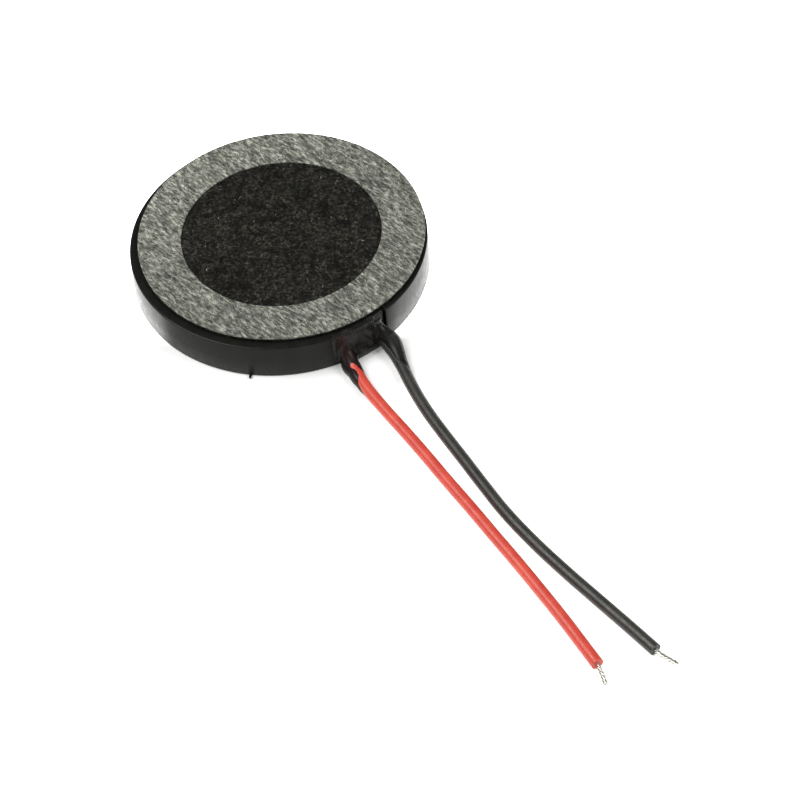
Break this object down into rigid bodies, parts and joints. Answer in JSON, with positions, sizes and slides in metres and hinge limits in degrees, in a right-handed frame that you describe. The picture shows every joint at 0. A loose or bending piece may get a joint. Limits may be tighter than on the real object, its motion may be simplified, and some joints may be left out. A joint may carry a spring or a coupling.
{
  "type": "coin vibration motor",
  "caption": "Coin-shaped linear vibration motor: spring-hung magnet mass and voice coil in a round moulded housing, with a cloth face, an adhesive ring and bare-ended leads.",
  "frame": {"origin": "centre of the back face, on the surface that the motor lies on", "axes": "+Z out of the cloth face along the axis of vibration; the leads leave towards -Y and +X"},
  "size_m": [0.0325, 0.0469, 0.0029],
  "materials": {
    "moulded_plastic": "smooth black moulding, semi-gloss",
    "cover_steel": "stamped stainless sheet, satin",
    "face_cloth": "black non-woven cloth, matt, with loose fibres",
    "adhesive_tissue": "grey-white fibrous tissue of a double-sided adhesive, over black",
    "yoke_steel": "plated soft steel, satin",
    "magnet_plating": "nickel plating on a sintered magnet",
    "heavy_alloy": "sintered heavy alloy, dull grey",
    "spring_steel": "etched spring steel sheet",
    "diaphragm_film": "thin amber polymer film, formed",
    "copper": "enamelled copper wire",
    "board_laminate": "green glass-epoxy laminate with tinned pads",
    "solder": "lead-free solder, smooth",
    "tinned_strands": "twisted tinned copper strands",
    "red_pvc": "soft red PVC insulation, glossy",
    "black_pvc": "soft black PVC insulation, satin",
    "black_glue": "cured black potting glue, smooth and glossy"
  },
  "bodies": {
    "case": {"housing": "moulded_plastic", "rear_cover": "cover_steel", "front_cover": "cover_steel", "front_cloth": "face_cloth", "adhesive_ring": "adhesive_tissue", "clamp_ring": "moulded_plastic", "rear_spring": "spring_steel", "front_spring": "spring_steel", "diaphragm_surround": "diaphragm_film", "coil_lead_red": "copper", "coil_lead_black": "copper", "terminal_board": "board_laminate", "solder_red": "solder", "solder_black": "solder", "root_red": "tinned_strands", "root_black": "tinned_strands", "lead_red": "red_pvc", "lead_black": "black_pvc", "tip_red": "tinned_strands", "tip_black": "tinned_strands", "lead_glue": "black_glue"},
    "mass": {"yoke": "yoke_steel", "magnet": "magnet_plating", "pole_plate": "yoke_steel", "weight_ring": "heavy_alloy"},
    "diaphragm": {"diaphragm_dome": "diaphragm_film", "voice_coil": "copper"}
  },
  "joints": [
    {"name": "mass_slide", "type": "slide", "parent": "case", "child": "mass", "axis": [0, 0, 1], "range_m": [-0.00015, 0.00015], "stiffness_N_per_m": 1200, "deforming": ["rear_spring", "front_spring"]},
    {"name": "diaphragm_slide", "type": "slide", "parent": "case", "child": "diaphragm", "axis": [0, 0, 1], "range_m": [-0.0001, 0.0001], "stiffness_N_per_m": 900, "deforming": ["diaphragm_surround", "coil_lead_red", "coil_lead_black"]}
  ]
}
